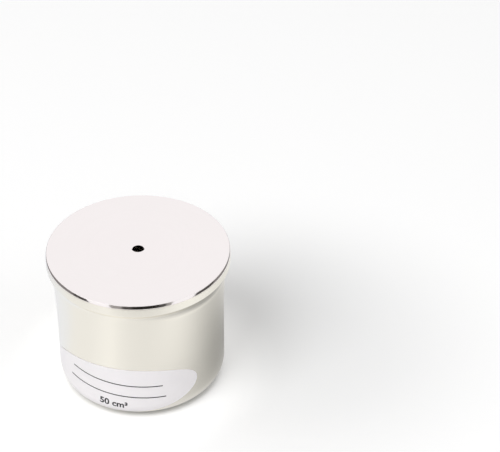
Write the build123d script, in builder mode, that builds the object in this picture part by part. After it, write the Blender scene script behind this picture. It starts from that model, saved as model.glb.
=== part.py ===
from build123d import *
import math
import os

# Metal pycnometer of 50 ml: a turned cup, a vented lid and an oval sticker.
# Millimetres. The origin is the middle of the base, Z is the turning axis and -Y the front.

# Cup
cup_height = 39.4
body_diameter = 45.6
wall_thickness = 1.5
base_thickness = 1.58
bottom_edge_radius = 4.8

# Wall, straight up to the start of the flare, then bending slightly out up to the lip
flare_start = 20.0
flare_width = 0.5

# Lip of the cup, which grows out of the wall in a hollow curve
lip_overhang = 1.9
lip_height = 2.4
lip_hollow_radius = 5.5
lip_corner_radius = 0.6
edge_break = 0.15

# Lid, as wide as the lip, with a crowned edge that leans in towards its top face
lid_edge_thickness = 1.3
lid_edge_lean = 0.27
lid_rim_radius = 0.35
spigot_height = 3.0
spigot_clearance = 0.06
spigot_lead = 0.4
underside_land = 1.2
underside_rise = 1.5

# Vent, drilled through the lid and countersunk from above
vent_diameter = 3.1
countersink_diameter = 3.6
countersink_angle = 90.0

# Oval sticker, measured along the wall
label_width = 47.6
label_height = 15.3
label_thickness = 0.12
label_centre_height = 9.6
label_centre_angle = -21.0
label_tilt = 1.5
label_fullness = 2.13
label_outline_points = 32

body_radius = body_diameter / 2
bore_radius = body_radius - wall_thickness
lip_radius = body_radius + lip_overhang
lid_radius = lip_radius
bottom_inner_radius = bottom_edge_radius - wall_thickness
lid_top = cup_height + lid_edge_thickness

os.makedirs("parts", exist_ok=True)


def lip_hollow():
    """Foot, middle and end of the hollow curve under the lip, as points in the XZ plane."""
    lip_bottom = cup_height - lip_height
    turn = math.acos(1 - (lip_overhang - flare_width) / lip_hollow_radius)
    foot_height = lip_bottom - lip_hollow_radius * math.sin(turn)
    centre_x = body_radius + flare_width + lip_hollow_radius

    def on_curve(angle):
        return (
            centre_x - lip_hollow_radius * math.cos(angle),
            foot_height + lip_hollow_radius * math.sin(angle),
        )

    return on_curve(0), on_curve(turn / 2), on_curve(turn)


# Cup body, turned in one piece
with BuildPart() as cup_body:
    with BuildSketch(Plane.XZ) as cup_section:
        with BuildLine():
            foot, middle, end = lip_hollow()
            bend = (body_radius, flare_start)
            Polyline((0, base_thickness), (0, 0), (body_radius, 0), bend)
            TangentArc(bend, foot, tangent=(0, 1))
            ThreePointArc(foot, middle, end)
            Polyline(
                end,
                (lip_radius, cup_height),
                (bore_radius, cup_height),
                (bore_radius, base_thickness),
                (0, base_thickness),
            )
        make_face()
        bottom_outside = cup_section.vertices().sort_by_distance((body_radius, 0))[0]
        fillet(bottom_outside, bottom_edge_radius)
        bottom_inside = cup_section.vertices().sort_by_distance((bore_radius, base_thickness))[0]
        fillet(bottom_inside, bottom_inner_radius)
        lip_corner = cup_section.vertices().sort_by_distance(end)[0]
        fillet(lip_corner, lip_corner_radius)
        lip_top = cup_section.vertices().group_by(Axis.Y)[-1]
        fillet(lip_top, edge_break)
    revolve(axis=Axis.Z)
cup_body.part.label = "cup_body"
export_step(cup_body.part, "parts/cup_body.step")


# Lid, turned in one piece, with the vent through its middle
with BuildPart() as lid:
    spigot_radius = bore_radius - spigot_clearance
    spigot_bottom = cup_height - spigot_height
    cone_radius = spigot_radius - underside_land
    with BuildSketch(Plane.XZ) as lid_section:
        with BuildLine():
            edge_foot = (lid_radius, cup_height)
            edge_head = (lid_radius - lid_edge_lean, lid_top)
            underside = (0, spigot_bottom + underside_rise)
            Polyline(
                underside,
                (cone_radius, spigot_bottom),
                (spigot_radius, spigot_bottom),
                (spigot_radius, cup_height),
                edge_foot,
            )
            TangentArc(edge_foot, edge_head, tangent=(0, 1))
            Polyline(edge_head, (0, lid_top), underside)
        make_face()
        rim = lid_section.vertices().sort_by_distance(edge_head)[0]
        fillet(rim, lid_rim_radius)
        seat_edge = lid_section.vertices().sort_by_distance(edge_foot)[0]
        fillet(seat_edge, edge_break)
        spigot_nose = lid_section.vertices().sort_by_distance((spigot_radius, spigot_bottom))[0]
        chamfer(spigot_nose, spigot_lead)
    revolve(axis=Axis.Z)
    with Locations(Plane.XY.offset(lid_top)):
        CounterSinkHole(
            radius=vent_diameter / 2,
            counter_sink_radius=countersink_diameter / 2,
            counter_sink_angle=countersink_angle,
        )
lid.part.label = "lid"
export_step(lid.part, "parts/lid.step")


def label_outline_point(turn):
    """A point of the sticker's oval as it looks from straight ahead, at a turn round the oval."""
    power = 2 / label_fullness
    across = math.copysign(abs(math.cos(turn)) ** power, math.cos(turn)) * label_width / 2
    up = math.copysign(abs(math.sin(turn)) ** power, math.sin(turn)) * label_height / 2
    tilt = math.radians(label_tilt)
    along_wall = across * math.cos(tilt) - up * math.sin(tilt)
    rise = across * math.sin(tilt) + up * math.cos(tilt)
    return body_radius * math.sin(along_wall / body_radius), label_centre_height + rise


# Sticker: a thin skin of the wall and its rounded foot, cut to an oval
with BuildPart() as label:
    skin_radius = body_radius + label_thickness
    skin_top = label_centre_height + label_height
    edge_centre = (body_radius - bottom_edge_radius, bottom_edge_radius)
    with BuildSketch(Plane.XZ):
        with BuildLine():
            under = CenterArc(edge_centre, bottom_edge_radius, -90, 90)
            over = CenterArc(edge_centre, bottom_edge_radius + label_thickness, -90, 90)
            Line(under @ 0, over @ 0)
            Polyline(under @ 1, (body_radius, skin_top), (skin_radius, skin_top), over @ 1)
        make_face()
    revolve(axis=Axis.Z)
    with BuildSketch(Plane.XZ.rotated((0, 0, label_centre_angle))):
        with BuildLine():
            turns = [2 * math.pi * i / label_outline_points for i in range(label_outline_points)]
            Spline([label_outline_point(turn) for turn in turns], periodic=True)
        make_face()
    extrude(amount=2 * lip_radius, mode=Mode.INTERSECT)
label.part.label = "label"
export_step(label.part, "parts/label.step")
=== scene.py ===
"""Looks of a small turned metal pycnometer: a polished cup, its vented lid and an oval sticker."""

import math

import bmesh
import bpy
from bpy.props import FloatProperty, FloatVectorProperty, IntProperty, PointerProperty
from mathutils import Matrix, Vector


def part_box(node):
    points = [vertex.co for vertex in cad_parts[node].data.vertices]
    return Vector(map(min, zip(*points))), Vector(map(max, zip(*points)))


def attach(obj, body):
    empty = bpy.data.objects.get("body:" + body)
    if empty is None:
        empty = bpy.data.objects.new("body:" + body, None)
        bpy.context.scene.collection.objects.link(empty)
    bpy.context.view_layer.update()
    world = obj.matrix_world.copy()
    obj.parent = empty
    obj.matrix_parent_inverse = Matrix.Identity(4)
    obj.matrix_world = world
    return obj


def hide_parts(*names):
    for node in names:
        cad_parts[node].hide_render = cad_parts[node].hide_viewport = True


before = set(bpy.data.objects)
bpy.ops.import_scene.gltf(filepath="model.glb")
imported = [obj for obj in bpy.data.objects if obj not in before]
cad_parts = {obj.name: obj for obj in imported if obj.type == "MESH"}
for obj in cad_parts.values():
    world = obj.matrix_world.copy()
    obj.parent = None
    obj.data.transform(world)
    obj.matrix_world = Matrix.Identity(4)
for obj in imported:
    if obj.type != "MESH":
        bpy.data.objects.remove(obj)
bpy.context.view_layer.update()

bl_info = {
    "name": "Metal pycnometer",
    "version": (1, 0, 0),
    "blender": (4, 5, 0),
    "location": "3D View > Sidebar > Pycnometer",
    "description": "Builds the finished look of a turned metal pycnometer round its frame",
    "category": "Add Mesh",
}

MM = 0.001
CUP_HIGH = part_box("cup_body")[1]
LID_LOW, LID_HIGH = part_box("lid")


def length(name, description, millimetres):
    """A length property whose default is given in millimetres."""
    return FloatProperty(
        name=name,
        description=description,
        default=millimetres * MM,
        precision=5,
        subtype="DISTANCE",
        unit="LENGTH",
    )


def colour(name, description, value):
    """A linear colour property."""
    return FloatVectorProperty(
        name=name, description=description, default=value, size=3, min=0, max=1, subtype="COLOR"
    )


class TurningSizes(bpy.types.PropertyGroup):
    """How finely the turned pieces are made."""

    steps_round: IntProperty(
        name="Steps round", description="Faces round each turned piece", default=288, min=24
    )
    corner_steps: IntProperty(
        name="Corner steps", description="Faces across each rounded corner", default=14, min=2
    )
    guard: length("Guard", "Width of the thin ring that keeps a flat face flat beside a corner", 0.03)


class CupSizes(bpy.types.PropertyGroup):
    """Sizes of the turned cup."""

    body_radius: length("Wall radius", "Outside radius of the straight wall", 22.8)
    wall: length("Wall", "Thickness of the straight wall", 1.5)
    base: length("Base", "Thickness of the flat base", 1.58)
    bottom_radius: length("Bottom edge", "Radius of the rounded outer bottom edge", 4.8)
    lip_height: length("Lip height", "Height of the straight band of the lip", 2.4)
    flare_start: length("Flare start", "Height at which the wall starts to bend out", 20.0)
    flare_width: length("Flare", "How far the wall bends out up to the lip", 0.5)
    hollow_radius: length("Lip hollow", "Radius of the hollow curve under the lip", 5.5)
    lip_corner: length("Lip corner", "Rounding between the lip and its hollow curve", 0.6)
    edge_break: length("Edge break", "Rounding of the rim where the lid lands", 0.15)


class LidSizes(bpy.types.PropertyGroup):
    """Sizes of the lid and its vent."""

    edge_lean: length("Edge lean", "How far the crowned edge leans in up to the top face", 0.27)
    rim_radius: length("Rim radius", "Rounding of the lid's top edge", 0.35)
    seat_break: length("Seat break", "Rounding of the lid's lower outer edge", 0.15)
    clearance: length("Clearance", "Gap between the spigot and the bore", 0.06)
    lead: length("Lead", "Chamfer at the spigot's nose", 0.4)
    land: length("Land", "Flat ring round the cone underneath", 1.2)
    rise: length("Rise", "Height of the cone underneath", 1.5)
    vent_radius: length("Vent radius", "Radius of the drilled vent", 1.55)
    sink_radius: length("Countersink radius", "Radius of the countersink at the top face", 1.8)


class LabelSizes(bpy.types.PropertyGroup):
    """Sizes of the sticker and what is printed on it."""

    width: length("Width", "Width of the oval along the wall", 47.6)
    height: length("Height", "Height of the oval", 15.3)
    thickness: length("Thickness", "Thickness of the paper and its film", 0.12)
    centre_height: length("Centre height", "Height of the oval's middle", 9.6)
    centre_angle: FloatProperty(
        name="Centre angle",
        description="Turn of the oval's middle from the front",
        default=math.radians(-21.0),
        subtype="ANGLE",
        unit="ROTATION",
    )
    tilt: FloatProperty(
        name="Tilt",
        description="Turn of the oval in its own face",
        default=math.radians(1.5),
        subtype="ANGLE",
        unit="ROTATION",
    )
    fullness: FloatProperty(
        name="Fullness", description="2 is a plain oval, more is squarer", default=2.13, min=1.5, max=6
    )
    rings: IntProperty(name="Rings", description="Rings of faces from middle to edge", default=28, min=2)
    steps_round: IntProperty(name="Steps round", description="Faces round the oval", default=160, min=16)


class PrintSizes(bpy.types.PropertyGroup):
    """Sizes of the plain print, on the sticker's face, from the oval's middle."""

    tilt: FloatProperty(
        name="Tilt",
        description="Turn of the print from level",
        default=math.radians(-3.3),
        subtype="ANGLE",
        unit="ROTATION",
    )
    rule_thickness: length("Rule thickness", "Thickness of the two lines to write on", 0.32)
    upper_rule_length: length("Upper rule length", "Length of the upper line", 26.5)
    upper_rule_rise: length("Upper rule rise", "Height of the upper line over the middle", 2.4)
    lower_rule_length: length("Lower rule length", "Length of the lower line", 28.6)
    lower_rule_rise: length("Lower rule rise", "Height of the lower line over the middle", -1.45)
    figure_height: length("Figure height", "Height of the capacity figures", 2.0)
    figure_rise: length("Figure rise", "Height of the figures' foot over the middle", -5.6)
    figure_weight: FloatProperty(
        name="Figure weight", description="Extra boldness of the figures", default=0.03, min=0, max=0.1
    )
    ink_thickness: length("Ink thickness", "Thickness of the ink on the paper", 0.012)
    strip: length("Strip", "Width of the cuts that let the print bend round the wall", 0.25)


class Finishes(bpy.types.PropertyGroup):
    """Colours of the metal, paper, ink and floor."""

    cup_metal: colour("Cup metal", "Polished metal of the cup", (0.92, 0.885, 0.80))
    lid_metal: colour("Lid metal", "Satin metal of the lid", (0.915, 0.865, 0.865))
    paper: colour("Paper", "Coated paper of the sticker", (0.95, 0.92, 0.935))
    ink: colour("Ink", "Print on the sticker", (0.02, 0.02, 0.022))
    floor: colour("Floor", "Plain pale floor", (0.8, 0.8, 0.8))


class Outline:
    """A wire in the XZ plane, drawn with mesh operators, to be turned round the Z axis."""

    def __init__(self, x, z, turning):
        self.turning = turning
        self.mesh = bmesh.new()
        self.end = self.mesh.verts.new((x, 0, z))
        self.start = self.end

    def point(self, x, z):
        """Draws straight on to a point."""
        made = bmesh.ops.extrude_vert_indiv(self.mesh, verts=[self.end])
        self.end = made["verts"][0]
        self.end.co = (x, 0, z)

    def line(self, x, z):
        """Draws a straight stretch, with a short guard step at each end."""
        begin, finish = self.end.co.copy(), Vector((x, 0, z))
        run = finish - begin
        guard = self.turning.guard
        if run.length > 4 * guard:
            step = run.normalized() * guard
            for place in (begin + step, finish - step):
                self.point(place.x, place.z)
        self.point(x, z)

    def arc(self, centre_x, centre_z, degrees, steps=None):
        """Draws an arc about a centre, counter-clockwise as seen from the front."""
        made = bmesh.ops.spin(
            self.mesh,
            geom=[self.end],
            cent=(centre_x, 0, centre_z),
            axis=(0, -1, 0),
            angle=math.radians(degrees),
            steps=steps or self.turning.corner_steps,
        )
        self.end = next(part for part in made["geom_last"] if isinstance(part, bmesh.types.BMVert))

    def close(self):
        """Joins the end to the start."""
        self.mesh.edges.new((self.end, self.start))

    def turned(self, name):
        """Turns the wire through a full circle and returns the finished object."""
        bmesh.ops.spin(
            self.mesh,
            geom=self.mesh.verts[:] + self.mesh.edges[:],
            axis=(0, 0, 1),
            cent=(0, 0, 0),
            angle=2 * math.pi,
            steps=self.turning.steps_round,
            use_merge=True,
        )
        bmesh.ops.remove_doubles(self.mesh, verts=self.mesh.verts, dist=0.0002 * MM)
        bmesh.ops.recalc_face_normals(self.mesh, faces=self.mesh.faces)
        return finished(self.mesh, name)


def finished(mesh, name, smooth=True):
    """Makes an object of a bmesh, at the origin, in the scene."""
    for face in mesh.faces:
        face.smooth = smooth
    data = bpy.data.meshes.new(name)
    mesh.to_mesh(data)
    mesh.free()
    piece = bpy.data.objects.new(name, data)
    bpy.context.scene.collection.objects.link(piece)
    return piece


def dress(piece, material, slot, *nodes):
    """Gives a piece its material and body, and hides the nodes that it stands for. The finish slot is
    not used.
    """
    piece.data.materials.append(material)
    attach(piece, "root")
    if nodes:
        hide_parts(*nodes)


# Node helpers


def add_node(tree, kind, inputs=None, **values):
    """Adds a node, sets its properties and its unlinked inputs."""
    node = tree.nodes.new(kind)
    for key, value in values.items():
        setattr(node, key, value)
    for key, value in (inputs or {}).items():
        node.inputs[key].default_value = value
    return node


def join(tree, *pairs):
    """Links sockets, given as pairs of output and input."""
    for out_socket, in_socket in pairs:
        tree.links.new(out_socket, in_socket)


def maths(tree, operation, first, second=None):
    """A maths node on sockets or numbers. Returns its output."""
    node = add_node(tree, "ShaderNodeMath", operation=operation)
    for index, value in enumerate((first, second)):
        if isinstance(value, bpy.types.NodeSocket):
            tree.links.new(value, node.inputs[index])
        elif value is not None:
            node.inputs[index].default_value = value
    return node.outputs[0]


def eased(tree, value, begin, end, at_begin, at_end):
    """Blends softly between two values while the input goes from begin to end. Returns its output."""
    node = add_node(
        tree,
        "ShaderNodeMapRange",
        {"From Min": begin, "From Max": end, "To Min": at_begin, "To Max": at_end},
        interpolation_type="SMOOTHSTEP",
    )
    join(tree, (value, node.inputs["Value"]))
    return node.outputs["Result"]


def distance_from(tree, place, point):
    """Distance of the surface from a point. Returns its output."""
    node = add_node(tree, "ShaderNodeVectorMath", operation="DISTANCE")
    node.inputs[1].default_value = point
    join(tree, (place.outputs["Object"], node.inputs[0]))
    return node.outputs["Value"]


def tone_range(tree, tint, darkest, lightest):
    """Mixes a darker and a lighter tone of one colour. Returns the node."""
    tone = add_node(tree, "ShaderNodeMix", data_type="RGBA")
    for socket, factor in (("A", darkest), ("B", lightest)):
        tone.inputs[socket].default_value = (*[min(1, factor * c) for c in tint], 1)
    return tone


def seen_directly(tree):
    """1 for the camera and for what shows in mirrors and glass, 0 for light on matt things."""
    path = add_node(tree, "ShaderNodeLightPath")
    mirrored = maths(tree, "MAXIMUM", path.outputs["Is Glossy Ray"], path.outputs["Is Transmission Ray"])
    return maths(tree, "MAXIMUM", path.outputs["Is Camera Ray"], mirrored)


def new_material(name):
    """A material with an empty node tree and its output. Returns material, tree and output."""
    material = bpy.data.materials.new(name)
    material.use_nodes = True
    tree = material.node_tree
    tree.nodes.clear()
    return material, tree, tree.nodes.new("ShaderNodeOutputMaterial")


def group_sockets(name, inputs, outputs):
    """A shader node group with float inputs and outputs. Returns tree, inputs node and outputs node."""
    tree = bpy.data.node_groups.new(name, "ShaderNodeTree")
    for label, default in inputs:
        socket = tree.interface.new_socket(label, in_out="INPUT", socket_type="NodeSocketFloat")
        socket.default_value = default
    for label in outputs:
        tree.interface.new_socket(label, in_out="OUTPUT", socket_type="NodeSocketFloat")
    return tree, tree.nodes.new("NodeGroupInput"), tree.nodes.new("NodeGroupOutput")


def turning_marks_group():
    """Fine rings left by turning, and soft smudges from handling."""
    name = "turning_marks"
    if name in bpy.data.node_groups:
        return bpy.data.node_groups[name]
    tree, given, out = group_sockets(
        name,
        [("Marks per metre", 9000.0), ("Smudges per metre", 60.0)],
        ["Marks", "Smudge"],
    )
    place = add_node(tree, "ShaderNodeTexCoord")
    split = add_node(tree, "ShaderNodeSeparateXYZ")
    join(tree, (place.outputs["Object"], split.inputs[0]))
    across = maths(tree, "MULTIPLY", split.outputs["X"], split.outputs["X"])
    along = maths(tree, "MULTIPLY", split.outputs["Y"], split.outputs["Y"])
    radius = maths(tree, "SQRT", maths(tree, "ADD", across, along))
    travel = maths(tree, "ADD", radius, split.outputs["Z"])
    ring = add_node(tree, "ShaderNodeCombineXYZ")
    drift_per_metre = 40.0
    join(
        tree,
        (maths(tree, "MULTIPLY", travel, given.outputs["Marks per metre"]), ring.inputs["X"]),
        (maths(tree, "MULTIPLY", split.outputs["X"], drift_per_metre), ring.inputs["Y"]),
        (maths(tree, "MULTIPLY", split.outputs["Y"], drift_per_metre), ring.inputs["Z"]),
    )
    marks = add_node(tree, "ShaderNodeTexNoise", {"Scale": 1.0, "Detail": 2.0, "Roughness": 0.6})
    smudge = add_node(tree, "ShaderNodeTexNoise", {"Detail": 3.0, "Roughness": 0.55})
    join(
        tree,
        (ring.outputs[0], marks.inputs["Vector"]),
        (place.outputs["Object"], smudge.inputs["Vector"]),
        (given.outputs["Smudges per metre"], smudge.inputs["Scale"]),
        (marks.outputs["Fac"], out.inputs["Marks"]),
        (smudge.outputs["Fac"], out.inputs["Smudge"]),
    )
    return tree


def turned_metal(name, tint, roughness, anisotropy, marks_per_metre, mark_depth):
    """Polished metal with turning marks that stretch its reflections across the marks."""
    material, tree, out = new_material(name)
    shader = add_node(
        tree, "ShaderNodeBsdfPrincipled", {"Metallic": 1.0, "Anisotropic": anisotropy}
    )
    marks = add_node(tree, "ShaderNodeGroup", node_tree=turning_marks_group())
    marks.inputs["Marks per metre"].default_value = marks_per_metre
    tone = tone_range(tree, tint, 0.97, 1.03)
    marks_share, smudge_share = 0.6, 0.4
    mixed = maths(
        tree,
        "ADD",
        maths(tree, "MULTIPLY", marks.outputs["Marks"], marks_share),
        maths(tree, "MULTIPLY", marks.outputs["Smudge"], smudge_share),
    )
    smoother, rougher = 0.8 * roughness, 1.2 * roughness
    spread = add_node(
        tree,
        "ShaderNodeMapRange",
        {"From Min": 0.3, "From Max": 0.7, "To Min": smoother, "To Max": rougher},
    )
    bump = add_node(tree, "ShaderNodeBump", {"Strength": 0.25, "Distance": mark_depth})
    tangent = add_node(tree, "ShaderNodeTangent", direction_type="RADIAL", axis="Z")
    join(
        tree,
        (mixed, tone.inputs["Factor"]),
        (tone.outputs["Result"], shader.inputs["Base Color"]),
        (mixed, spread.inputs["Value"]),
        (spread.outputs["Result"], shader.inputs["Roughness"]),
        (marks.outputs["Marks"], bump.inputs["Height"]),
        (bump.outputs["Normal"], shader.inputs["Normal"]),
        (tangent.outputs["Tangent"], shader.inputs["Tangent"]),
        (shader.outputs["BSDF"], out.inputs["Surface"]),
    )
    return material


def paper_material(name, tint):
    """Smooth coated paper with a faint tooth and cloudiness."""
    material, tree, out = new_material(name)
    shader = add_node(tree, "ShaderNodeBsdfPrincipled", {"Roughness": 0.42})
    place = add_node(tree, "ShaderNodeTexCoord")
    cloud = add_node(tree, "ShaderNodeTexNoise", {"Scale": 220.0, "Detail": 4.0})
    tooth = add_node(tree, "ShaderNodeTexNoise", {"Scale": 5200.0, "Detail": 2.0})
    tone = tone_range(tree, tint, 0.965, 1.02)
    bump = add_node(tree, "ShaderNodeBump", {"Strength": 0.12, "Distance": 0.01 * MM})
    join(
        tree,
        (place.outputs["Object"], cloud.inputs["Vector"]),
        (place.outputs["Object"], tooth.inputs["Vector"]),
        (cloud.outputs["Fac"], tone.inputs["Factor"]),
        (tone.outputs["Result"], shader.inputs["Base Color"]),
        (tooth.outputs["Fac"], bump.inputs["Height"]),
        (bump.outputs["Normal"], shader.inputs["Normal"]),
        (shader.outputs["BSDF"], out.inputs["Surface"]),
    )
    return material


def ink_material(name, tint):
    """Dull dark print, a little uneven."""
    material, tree, out = new_material(name)
    shader = add_node(tree, "ShaderNodeBsdfPrincipled", {"Roughness": 0.5})
    place = add_node(tree, "ShaderNodeTexCoord")
    speckle = add_node(tree, "ShaderNodeTexNoise", {"Scale": 3000.0, "Detail": 2.0})
    tone = tone_range(tree, tint, 1.0, 2.2)
    join(
        tree,
        (place.outputs["Object"], speckle.inputs["Vector"]),
        (speckle.outputs["Fac"], tone.inputs["Factor"]),
        (tone.outputs["Result"], shader.inputs["Base Color"]),
        (shader.outputs["BSDF"], out.inputs["Surface"]),
    )
    return material


class PYCNOMETER_OT_cup(bpy.types.Operator):
    """Turn the cup body in place of its plain solid"""

    bl_idname = "pycnometer.cup"
    bl_label = "Cup body"

    def execute(self, context):
        settings = context.scene.pycnometer
        cup, turning = settings.cup, settings.turning
        top, lip_radius = CUP_HIGH.z, CUP_HIGH.x
        body, bottom = cup.body_radius, cup.bottom_radius
        bore, inner_bottom = body - cup.wall, bottom - cup.wall
        lip_bottom = top - cup.lip_height
        hollow, corner = cup.hollow_radius, cup.lip_corner
        overhang = lip_radius - body - cup.flare_width
        foot = lip_bottom - hollow * math.sin(math.acos(1 - overhang / hollow))
        flared = body + cup.flare_width
        flare_rise = foot - cup.flare_start
        flare = (flare_rise**2 + cup.flare_width**2) / (2 * cup.flare_width)
        flare_turn = math.degrees(math.asin(flare_rise / flare))
        turn = math.acos((hollow - overhang + corner) / (hollow + corner))
        corner_height = foot + (hollow + corner) * math.sin(turn)
        round_off = cup.edge_break

        outline = Outline(0, 0, turning)
        outline.line(body - bottom, 0)
        outline.arc(body - bottom, bottom, 90, 3 * turning.corner_steps)
        outline.line(body, cup.flare_start)
        outline.arc(body + flare, cup.flare_start, -flare_turn)
        outline.arc(flared + hollow, foot, -math.degrees(turn), 2 * turning.corner_steps)
        outline.arc(lip_radius - corner, corner_height, math.degrees(turn))
        outline.line(lip_radius, top - round_off)
        outline.arc(lip_radius - round_off, top - round_off, 90)
        outline.line(bore + round_off, top)
        outline.arc(bore + round_off, top - round_off, 90)
        outline.line(bore, cup.base + inner_bottom)
        outline.arc(bore - inner_bottom, cup.base + inner_bottom, -90, 2 * turning.corner_steps)
        outline.line(0, cup.base)
        piece = outline.turned("cup")

        tint = settings.finishes.cup_metal
        metal = turned_metal(
            "cup_metal",
            tint,
            roughness=0.2,
            anisotropy=0.75,
            marks_per_metre=9000.0,
            mark_depth=0.004 * MM,
        )
        dress(piece, metal, "cup_steel", "cup_body")
        return {"FINISHED"}


class PYCNOMETER_OT_lid(bpy.types.Operator):
    """Turn the vented lid in place of its plain solid"""

    bl_idname = "pycnometer.lid"
    bl_label = "Vented lid"

    def execute(self, context):
        settings = context.scene.pycnometer
        lid, turning, cup = settings.lid, settings.turning, settings.cup
        top, bottom = LID_HIGH.z, LID_LOW.z
        seat, radius = CUP_HIGH.z, CUP_HIGH.x
        spigot = cup.body_radius - cup.wall - lid.clearance
        cone = spigot - lid.land
        vent, sink = lid.vent_radius, lid.sink_radius
        vent_foot = bottom + lid.rise * (1 - vent / cone)
        rim, under = lid.rim_radius, lid.seat_break
        crown = (lid.edge_lean**2 + (top - seat) ** 2) / (2 * lid.edge_lean)
        crown_x = radius - crown
        crown_start = math.asin(under / (crown - under))
        crown_end = math.asin((top - rim - seat) / (crown - rim))
        under_x = crown_x + (crown - under) * math.cos(crown_start)
        rim_x = crown_x + (crown - rim) * math.cos(crown_end)

        outline = Outline(vent, vent_foot, turning)
        outline.line(cone, bottom)
        outline.line(spigot - lid.lead, bottom)
        outline.line(spigot, bottom + lid.lead)
        outline.line(spigot, seat)
        outline.line(under_x, seat)
        outline.arc(under_x, seat + under, 90 + math.degrees(crown_start))
        outline.arc(crown_x, seat, math.degrees(crown_end - crown_start))
        outline.arc(rim_x, top - rim, 90 - math.degrees(crown_end))
        outline.line(sink, top)
        outline.line(vent, top - (sink - vent))
        outline.line(vent, vent_foot + turning.guard)
        outline.close()
        piece = outline.turned("lid_disc")

        tint = settings.finishes.lid_metal
        metal = turned_metal(
            "lid_metal",
            tint,
            roughness=0.12,
            anisotropy=0.3,
            marks_per_metre=9000.0,
            mark_depth=0.002 * MM,
        )
        dress(piece, metal, "lid_steel", "lid")
        return {"FINISHED"}


def wall_place(settings, along, up, lift):
    """Point on the cup's outside, from a distance along the wall and a height on the sticker."""
    cup, label = settings.cup, settings.label
    tilt = label.tilt
    across = along * math.cos(tilt) - up * math.sin(tilt)
    z = label.centre_height + along * math.sin(tilt) + up * math.cos(tilt)
    foot = cup.bottom_radius
    radius = cup.body_radius
    if z < foot:
        radius -= foot - math.sqrt(max(0, foot**2 - (foot - z) ** 2))
    angle = math.asin(math.sin(across / cup.body_radius) * cup.body_radius / radius)
    angle += label.centre_angle
    normal_out = max(0, foot - z) / foot
    radius += lift * math.sqrt(1 - normal_out**2)
    return Vector((radius * math.sin(angle), -radius * math.cos(angle), z - lift * normal_out))


class PYCNOMETER_OT_label(bpy.types.Operator):
    """Lay the oval paper sticker on the wall in place of its plain solid"""

    bl_idname = "pycnometer.label"
    bl_label = "Oval sticker"

    def execute(self, context):
        settings = context.scene.pycnometer
        label = settings.label
        disc = bmesh.new()
        end = disc.verts.new((0, 0, 0))
        for ring in range(1, label.rings + 1):
            end = bmesh.ops.extrude_vert_indiv(disc, verts=[end])["verts"][0]
            end.co = (math.sin(math.pi / 2 * ring / label.rings), 0, 0)
        bmesh.ops.spin(
            disc,
            geom=disc.verts[:] + disc.edges[:],
            axis=(0, 0, 1),
            cent=(0, 0, 0),
            angle=2 * math.pi,
            steps=label.steps_round,
            use_merge=True,
        )
        bmesh.ops.remove_doubles(disc, verts=disc.verts, dist=1e-6)
        bmesh.ops.recalc_face_normals(disc, faces=disc.faces)
        power = 2 / label.fullness
        glue = 0.004 * MM
        for vert in disc.verts:
            reach, turn = vert.co.xy.length, math.atan2(vert.co.y, vert.co.x)
            along = math.copysign(abs(math.cos(turn)) ** power, math.cos(turn)) * label.width / 2
            up = math.copysign(abs(math.sin(turn)) ** power, math.sin(turn)) * label.height / 2
            vert.co = wall_place(settings, reach * along, reach * up, glue)
        for face in disc.faces:
            face.normal_update()
        outward = sum((face.normal.dot(face.calc_center_median()) for face in disc.faces))
        if outward < 0:
            bmesh.ops.reverse_faces(disc, faces=disc.faces)
        bmesh.ops.solidify(disc, geom=disc.faces[:], thickness=-(label.thickness - glue))
        bmesh.ops.recalc_face_normals(disc, faces=disc.faces)
        piece = finished(disc, "oval_label")
        paper = paper_material("label_paper", settings.finishes.paper)
        dress(piece, paper, "label_paper", "label")
        return {"FINISHED"}


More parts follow.
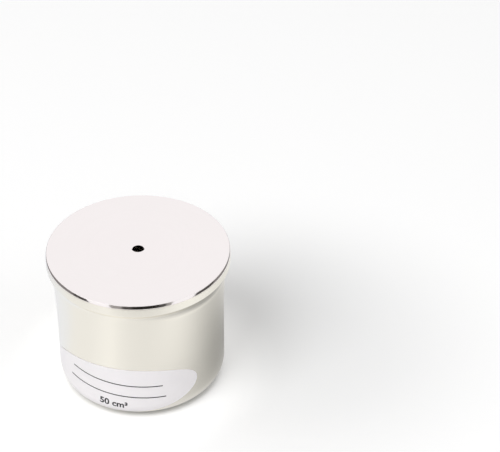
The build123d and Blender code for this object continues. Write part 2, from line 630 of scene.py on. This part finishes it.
class PYCNOMETER_OT_print(bpy.types.Operator):
    """Print two plain lines and the capacity on the sticker"""

    bl_idname = "pycnometer.print"
    bl_label = "Print"

    def execute(self, context):
        settings = context.scene.pycnometer
        marks = settings.marks
        ink = ink_material("ink", settings.finishes.ink)
        for name, length_along, rise in (
            ("upper_rule", marks.upper_rule_length, marks.upper_rule_rise),
            ("lower_rule", marks.lower_rule_length, marks.lower_rule_rise),
        ):
            sheet = bmesh.new()
            bmesh.ops.create_grid(sheet, x_segments=1, y_segments=1, size=0.5)
            bmesh.ops.scale(sheet, verts=sheet.verts, vec=(length_along, marks.rule_thickness, 1))
            bmesh.ops.translate(sheet, verts=sheet.verts, vec=(0, rise, 0))
            self.lay(settings, sheet, name, ink)
        self.lay(settings, self.figures(marks), "capacity", ink)
        return {"FINISHED"}

    def figures(self, marks):
        """The capacity as a flat sheet of letters, centred and at its height."""
        curve = bpy.data.curves.new("capacity", "FONT")
        curve.body = "50 cm\u00b3"
        curve.align_x = "CENTER"
        curve.offset = marks.figure_weight
        writing = bpy.data.objects.new("writing", curve)
        flat = bpy.data.meshes.new_from_object(writing)
        sheet = bmesh.new()
        sheet.from_mesh(flat)
        bpy.data.objects.remove(writing)
        bpy.data.meshes.remove(flat)
        bmesh.ops.remove_doubles(sheet, verts=sheet.verts, dist=1e-5)
        drawn_height = 0.7
        scale = marks.figure_height / drawn_height
        bmesh.ops.scale(sheet, verts=sheet.verts, vec=(scale, scale, 1))
        bmesh.ops.translate(sheet, verts=sheet.verts, vec=(0, marks.figure_rise, 0))
        return sheet

    def lay(self, settings, sheet, name, ink):
        """Cuts a flat sheet both ways, bends it round the wall on the sticker and gives it a body."""
        marks, label = settings.marks, settings.label
        for normal in (Vector((1, 0, 0)), Vector((0, 1, 0))):
            low = min(vert.co.dot(normal) for vert in sheet.verts)
            high = max(vert.co.dot(normal) for vert in sheet.verts)
            cuts = int((high - low) / marks.strip)
            for cut in range(1, cuts):
                bmesh.ops.bisect_plane(
                    sheet,
                    geom=sheet.verts[:] + sheet.edges[:] + sheet.faces[:],
                    plane_co=normal * (low + (high - low) * cut / cuts),
                    plane_no=normal,
                )
        turn = Matrix.Rotation(marks.tilt - label.tilt, 3, "Z")
        air = 0.003 * MM
        on_paper = label.thickness + air
        for vert in sheet.verts:
            place = turn @ vert.co
            vert.co = wall_place(settings, place.x, place.y, on_paper)
        bmesh.ops.solidify(sheet, geom=sheet.faces[:], thickness=-marks.ink_thickness)
        bmesh.ops.recalc_face_normals(sheet, faces=sheet.faces)
        piece = finished(sheet, name, smooth=False)
        dress(piece, ink, "label_paper")


# The stage


def shown_only_in_mirrors(piece):
    """Keeps a stage piece out of the camera's view and out of the light."""
    piece.visible_camera = False
    piece.visible_diffuse = False
    piece.visible_shadow = False
    piece.visible_transmission = False


def glow_material(name, shade=None):
    """Plain glow of one shade, or of a colour that is linked later. Returns material, tree and glow."""
    material, tree, out = new_material(name)
    glow = add_node(tree, "ShaderNodeEmission", {"Strength": 1.0})
    if shade:
        glow.inputs["Color"].default_value = (*shade, 1)
    join(tree, (glow.outputs[0], out.inputs["Surface"]))
    return material, tree, glow


def swept_card(name, foot, head, start, end, material):
    """A straight edge from foot to head, as radius and height, swept from one turn to another."""
    mesh = bmesh.new()
    turn = math.radians(start)
    ends = []
    for radius, height in (foot, head):
        ends.append(mesh.verts.new((radius * math.sin(turn), -radius * math.cos(turn), height)))
    mesh.edges.new(ends)
    bmesh.ops.spin(
        mesh,
        geom=mesh.verts[:] + mesh.edges[:],
        axis=(0, 0, 1),
        cent=(0, 0, 0),
        angle=math.radians(end - start),
        steps=max(4, int((end - start) / 4)),
        use_merge=end - start == 360,
    )
    piece = finished(mesh, name)
    piece.data.materials.append(material)
    shown_only_in_mirrors(piece)


def mat_material():
    """Glow of the mat round the foot, which the wall mirrors. It is a painted reflection, with bands of
    painted shade by turn, a soft painted shadow on the right and painted light next to the wall.
    """
    warm, cool = (1.0, 1.0, 1.0), (0.975, 1.0, 1.06)
    # Degrees from the front, shade and tint of the painted reflection
    stops = (
        (-180, 0.90, cool),
        (-100, 0.92, cool),
        (-78, 0.92, warm),
        (-59, 0.92, warm),
        (-46, 0.96, warm),
        (-34, 1.0, warm),
        (-23, 0.92, warm),
        (-12, 0.87, warm),
        (4, 0.85, warm),
        (20, 0.88, warm),
        (31, 0.93, warm),
        (45, 0.98, warm),
        (60, 1.0, warm),
        (150, 1.0, warm),
        (180, 0.92, cool),
    )
    material, tree, glow = glow_material("reflector_mat")
    place = add_node(tree, "ShaderNodeTexCoord")
    split = add_node(tree, "ShaderNodeSeparateXYZ")
    join(tree, (place.outputs["Object"], split.inputs[0]))
    turn = maths(tree, "ARCTAN2", split.outputs["X"], maths(tree, "MULTIPLY", split.outputs["Y"], -1.0))
    ramp = add_node(tree, "ShaderNodeValToRGB")
    ramp.color_ramp.interpolation = "EASE"
    elements = ramp.color_ramp.elements
    while len(elements) < len(stops):
        elements.new(0.5)
    for element, (degrees, shade, tint) in zip(elements, stops):
        element.position = degrees / 360 + 0.5
        element.color = (*[shade * c for c in tint], 1)
    place_round = maths(tree, "ADD", maths(tree, "DIVIDE", turn, 2 * math.pi), 0.5)
    # Painted shadow: a soft dark spot right of the cup. Painted light: a brighter ring next to the wall.
    from_painted_spot = distance_from(tree, place, (28 * MM, 2 * MM, 0))
    painted_spot_shade = eased(tree, from_painted_spot, 5 * MM, 52 * MM, 0.38, 1.0)
    from_middle = distance_from(tree, place, (0, 0, 0))
    painted_light_by_the_wall = eased(tree, from_middle, 23 * MM, 29 * MM, 0.12, 0.0)
    strength = maths(tree, "ADD", painted_spot_shade, painted_light_by_the_wall)
    join(
        tree,
        (place_round, ramp.inputs["Fac"]),
        (ramp.outputs["Color"], glow.inputs["Color"]),
        (maths(tree, "MINIMUM", strength, 1.0), glow.inputs["Strength"]),
    )
    return material


class PYCNOMETER_OT_stage(bpy.types.Operator):
    """Set the floor, the lights, the cards and the camera"""

    bl_idname = "pycnometer.stage"
    bl_label = "Stage"

    def execute(self, context):
        settings = context.scene.pycnometer
        self.make_floor(settings)
        self.make_cards()
        self.make_lights()
        self.make_world()
        self.make_camera()
        return {"FINISHED"}

    def make_floor(self, settings):
        """Matt floor that keeps the shadow and is lifted a little towards white where it is seen. The
        lift is smaller round a point to the right of the cup, which is a painted shadow. It is larger
        round the foot, which is painted light, and there is none at the contact.
        """
        half_width = 3.0
        mesh = bmesh.new()
        bmesh.ops.create_grid(mesh, x_segments=1, y_segments=1, size=half_width)
        piece = finished(mesh, "floor")
        material, tree, out = new_material("floor")
        matt = add_node(tree, "ShaderNodeBsdfDiffuse", {"Color": (*settings.finishes.floor, 1)})
        lift = add_node(tree, "ShaderNodeEmission", {"Color": (1, 1, 1, 1)})
        both = add_node(tree, "ShaderNodeAddShader")
        place = add_node(tree, "ShaderNodeTexCoord")
        from_painted_floor_shadow = distance_from(tree, place, (42 * MM, 8 * MM, 0))
        from_middle = distance_from(tree, place, (0, 0, 0))
        # Painted shadow: less lift round a point right of the cup. Painted light: more lift round the
        # foot.
        lift_with_painted_shadow = eased(tree, from_painted_floor_shadow, 10 * MM, 75 * MM, 0.12, 0.28)
        painted_light_by_the_foot = eased(tree, from_middle, 22 * MM, 40 * MM, 0.15, 0.0)
        past_contact = eased(tree, from_middle, 20.5 * MM, 23 * MM, 0.0, 1.0)
        lifted = maths(tree, "MULTIPLY", maths(tree, "ADD", lift_with_painted_shadow, painted_light_by_the_foot), past_contact)
        join(
            tree,
            (maths(tree, "MULTIPLY", seen_directly(tree), lifted), lift.inputs["Strength"]),
            (matt.outputs[0], both.inputs[0]),
            (lift.outputs[0], both.inputs[1]),
            (both.outputs[0], out.inputs["Surface"]),
        )
        piece.data.materials.append(material)

    def make_cards(self):
        """Dark glowing cards round the cup and a pale glowing mat at its foot, seen only in the metal,
        where they make painted reflections.
        """
        dark = glow_material("dark_card", (0.02, 0.018, 0.015))[0]
        deep = glow_material("deep_card", (0.08, 0.076, 0.07))[0]
        dim = glow_material("dim_card", (0.24, 0.23, 0.22))[0]
        grey = glow_material("grey_card", (0.35, 0.34, 0.32))[0]
        distance, card_foot = 79 * MM, 0.3 * MM
        mat_inside, mat_outside, mat_height = 20.5 * MM, 78 * MM, 0.25 * MM
        for name, start, end, top, shade in (
            ("card_front", -8, 17, 38.0 * MM, dark),
            ("card_front_left", -18, -8, 37.0 * MM, deep),
            ("card_front_right", 17, 25, 37.0 * MM, deep),
            ("card_end_left", -30, -18, 36.0 * MM, grey),
            ("card_end_right", 25, 31, 36.0 * MM, grey),
            ("card_right", 57, 82, 28.0 * MM, deep),
            ("card_far_right", 82, 170, 28.0 * MM, dim),
            ("card_left", -72, -54, 28.0 * MM, deep),
            ("card_far_left", -170, -72, 28.0 * MM, dim),
        ):
            swept_card(name, (distance, card_foot), (distance, top), start, end, shade)
        inner, outer = (mat_inside, mat_height), (mat_outside, mat_height)
        swept_card("mat", inner, outer, 0, 360, mat_material())

    def make_lights(self):
        """Two large soft lamps, the stronger one on the left."""
        aim = Vector((0, 0, 0.02))
        for name, place, size, power in (
            ("key", (-0.7, -0.7, 1.2), 0.9, 12.0),
            ("fill", (0.9, -0.6, 0.9), 0.9, 2.5),
        ):
            light = bpy.data.lights.new(name, "AREA")
            light.shape = "SQUARE"
            light.size = size
            light.energy = power
            holder = bpy.data.objects.new(name, light)
            holder.location = place
            holder.rotation_euler = (aim - Vector(place)).to_track_quat("-Z", "Y").to_euler()
            holder.visible_glossy = False
            bpy.context.scene.collection.objects.link(holder)

    def make_world(self):
        """White where it is seen or mirrored, and a softer light everywhere else."""
        world = bpy.data.worlds.new("studio")
        bpy.context.scene.world = world
        world.use_nodes = True
        tree = world.node_tree
        tree.nodes.clear()
        out = tree.nodes.new("ShaderNodeOutputWorld")
        soft = add_node(tree, "ShaderNodeBackground", {"Color": (1, 1, 1, 1), "Strength": 0.5})
        white = add_node(tree, "ShaderNodeBackground", {"Color": (1, 1, 1, 1), "Strength": 1.0})
        mix = add_node(tree, "ShaderNodeMixShader")
        join(
            tree,
            (seen_directly(tree), mix.inputs["Fac"]),
            (soft.outputs[0], mix.inputs[1]),
            (white.outputs[0], mix.inputs[2]),
            (mix.outputs[0], out.inputs["Surface"]),
        )

    def make_camera(self):
        """Camera above the front, looking a little past the cup."""
        away, above = 373.17 * MM, 321.93 * MM
        yaw, pitch, roll = 0.0801, 0.63451, 0.00393
        focal_pixels, picture_width, sensor = 1746.4, 500, 36.0
        data = bpy.data.cameras.new("camera")
        data.sensor_width = sensor
        data.lens = sensor * focal_pixels / picture_width
        data.clip_start, data.clip_end = 0.01, 20
        camera = bpy.data.objects.new("camera", data)
        camera.matrix_world = (
            Matrix.Translation((0, -away, above))
            @ Matrix.Rotation(-yaw, 4, "Z")
            @ Matrix.Rotation(math.pi / 2 - pitch, 4, "X")
            @ Matrix.Rotation(roll, 4, "Z")
        )
        bpy.context.scene.collection.objects.link(camera)
        bpy.context.scene.camera = camera
        bpy.context.scene.view_settings.view_transform = "Standard"


OPERATORS = (
    PYCNOMETER_OT_cup,
    PYCNOMETER_OT_lid,
    PYCNOMETER_OT_label,
    PYCNOMETER_OT_print,
    PYCNOMETER_OT_stage,
)


class PYCNOMETER_PT_panel(bpy.types.Panel):
    """Lists the steps that build the pycnometer"""

    bl_idname = "PYCNOMETER_PT_panel"
    bl_label = "Pycnometer"
    bl_space_type = "VIEW_3D"
    bl_region_type = "UI"
    bl_category = "Pycnometer"

    def draw(self, context):
        for operator in OPERATORS:
            self.layout.operator(operator.bl_idname)


class PycnometerSettings(bpy.types.PropertyGroup):
    """Every size and colour that a user would change."""

    turning: PointerProperty(type=TurningSizes)
    cup: PointerProperty(type=CupSizes)
    lid: PointerProperty(type=LidSizes)
    label: PointerProperty(type=LabelSizes)
    marks: PointerProperty(type=PrintSizes)
    finishes: PointerProperty(type=Finishes)


CLASSES = (
    TurningSizes,
    CupSizes,
    LidSizes,
    LabelSizes,
    PrintSizes,
    Finishes,
    PycnometerSettings,
    *OPERATORS,
    PYCNOMETER_PT_panel,
)


def register():
    for each in CLASSES:
        bpy.utils.register_class(each)
    bpy.types.Scene.pycnometer = PointerProperty(type=PycnometerSettings)


def unregister():
    del bpy.types.Scene.pycnometer
    for each in reversed(CLASSES):
        bpy.utils.unregister_class(each)


def main():
    register()
    bpy.ops.pycnometer.cup()
    bpy.ops.pycnometer.lid()
    bpy.ops.pycnometer.label()
    bpy.ops.pycnometer.print()
    bpy.ops.pycnometer.stage()


if __name__ == "__main__":
    main()
